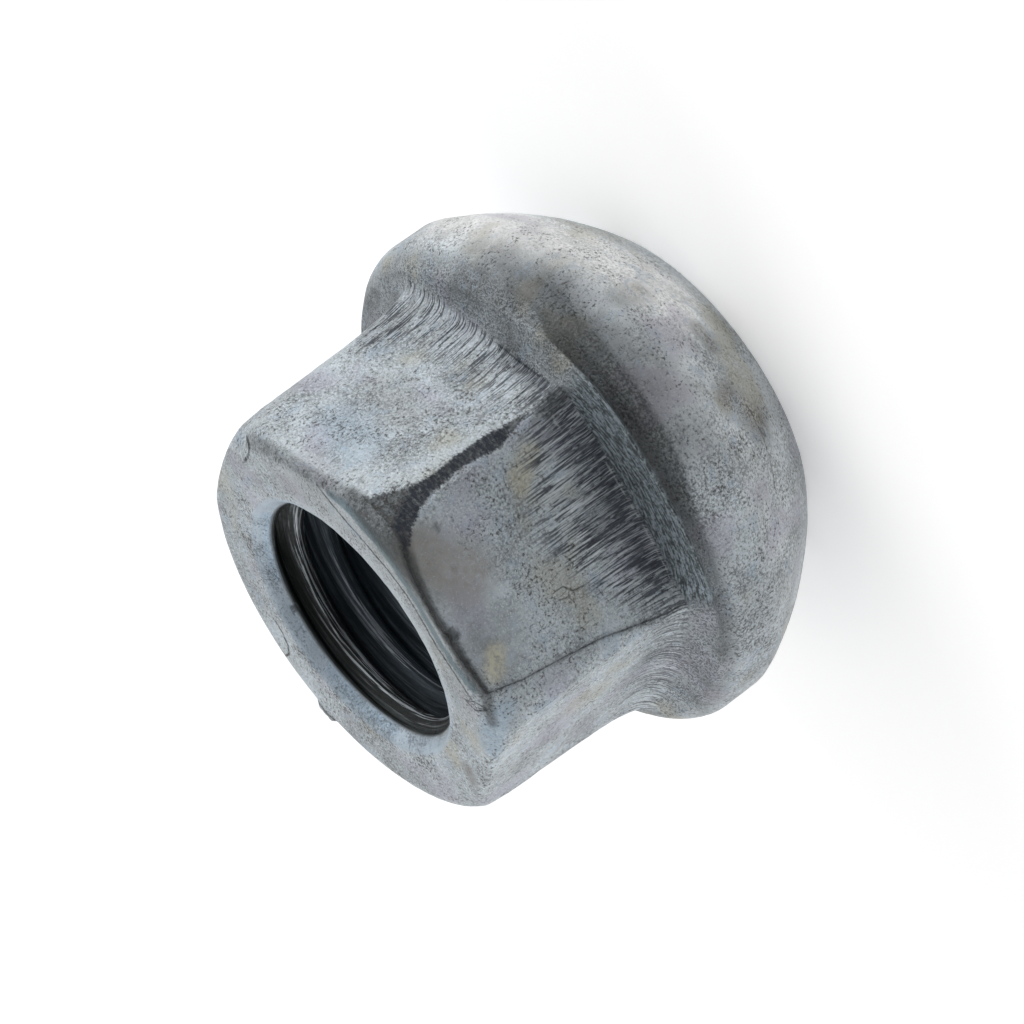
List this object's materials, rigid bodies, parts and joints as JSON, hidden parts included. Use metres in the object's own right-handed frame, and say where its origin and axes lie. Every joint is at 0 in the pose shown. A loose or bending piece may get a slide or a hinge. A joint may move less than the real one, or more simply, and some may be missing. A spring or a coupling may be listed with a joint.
{
  "type": "lug nut",
  "caption": "Open wheel nut: a hexagon head on a round collar with a ball seat, threaded right through, zinc plated.",
  "frame": {"origin": "centre of the seat-end face, on which the nut stands", "axes": "+Z along the thread axis from the seat end to the open end of the hexagon; the middle of one flat faces -Y and two corners lie on the X axis"},
  "size_m": [0.0232, 0.0232, 0.018],
  "materials": {
    "zinc_plated_steel": "dull zinc plate on forged steel, mottled blue-grey with fine dark pits and a dark oily bore"
  },
  "bodies": {
    "root": {"nut": "zinc_plated_steel"}
  },
  "joints": []
}
